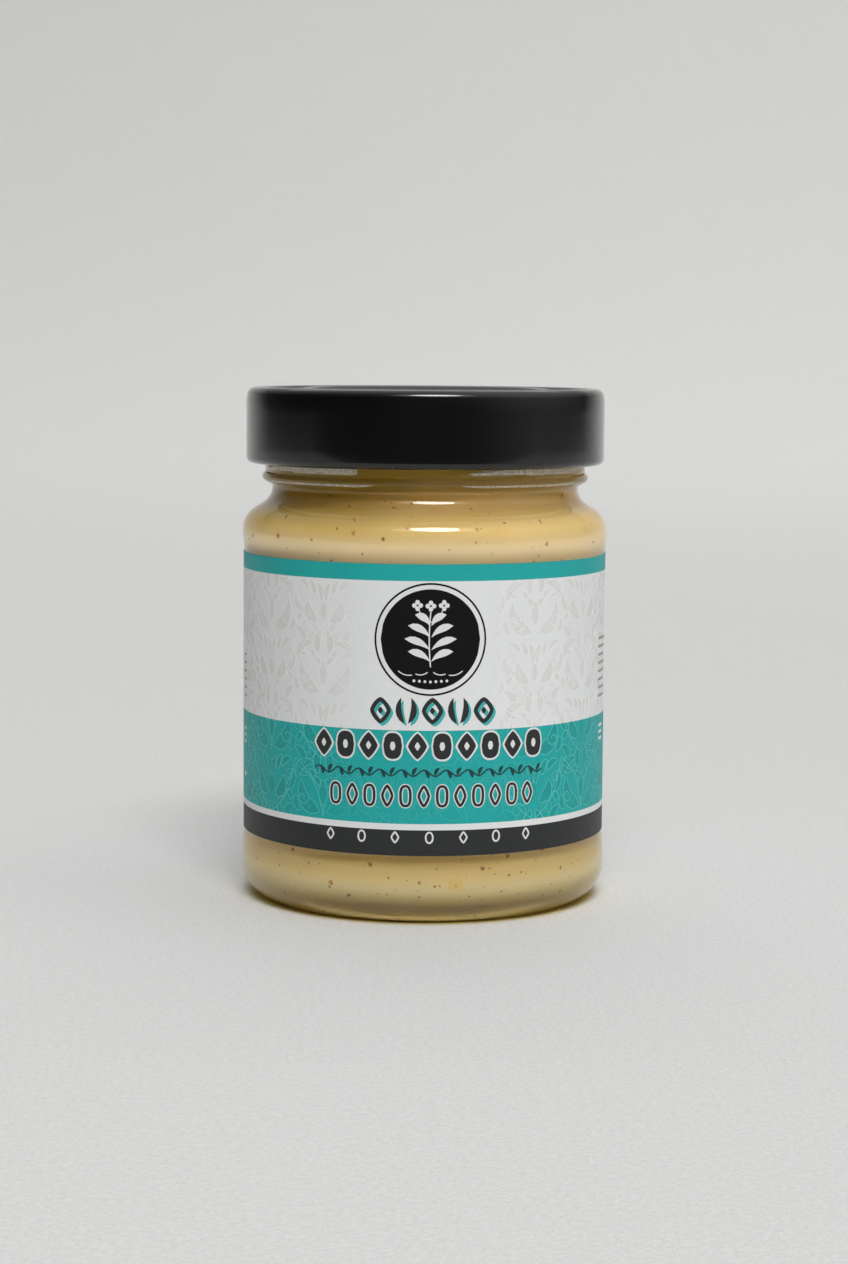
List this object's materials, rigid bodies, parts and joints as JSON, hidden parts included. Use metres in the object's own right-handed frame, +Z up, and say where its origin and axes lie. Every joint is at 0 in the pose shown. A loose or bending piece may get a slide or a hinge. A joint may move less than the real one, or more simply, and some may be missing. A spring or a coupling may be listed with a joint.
{
  "type": "glass jar of mustard",
  "caption": "Shut round glass jar filled with grainy yellow mustard, with a black twist-off lid and a paper label wrapped round its side.",
  "frame": {"origin": "middle of the ring under the jar that it stands on, at table height", "axes": "+Z up along the jar's axis; the label's front faces -Y and its open seam faces +Y"},
  "size_m": [0.0672, 0.0672, 0.0933],
  "materials": {
    "glass": "clear, smooth and glossy",
    "lacquer": "black satin-gloss lacquer on tinplate",
    "paper": "smooth coated paper, printed in teal, black and pale grey",
    "mustard": "moist smooth paste with fine dark seed hulls, seen through glass"
  },
  "bodies": {
    "root": {"jar": "glass", "lid": "lacquer", "label": "paper", "mustard": "mustard"}
  },
  "joints": []
}
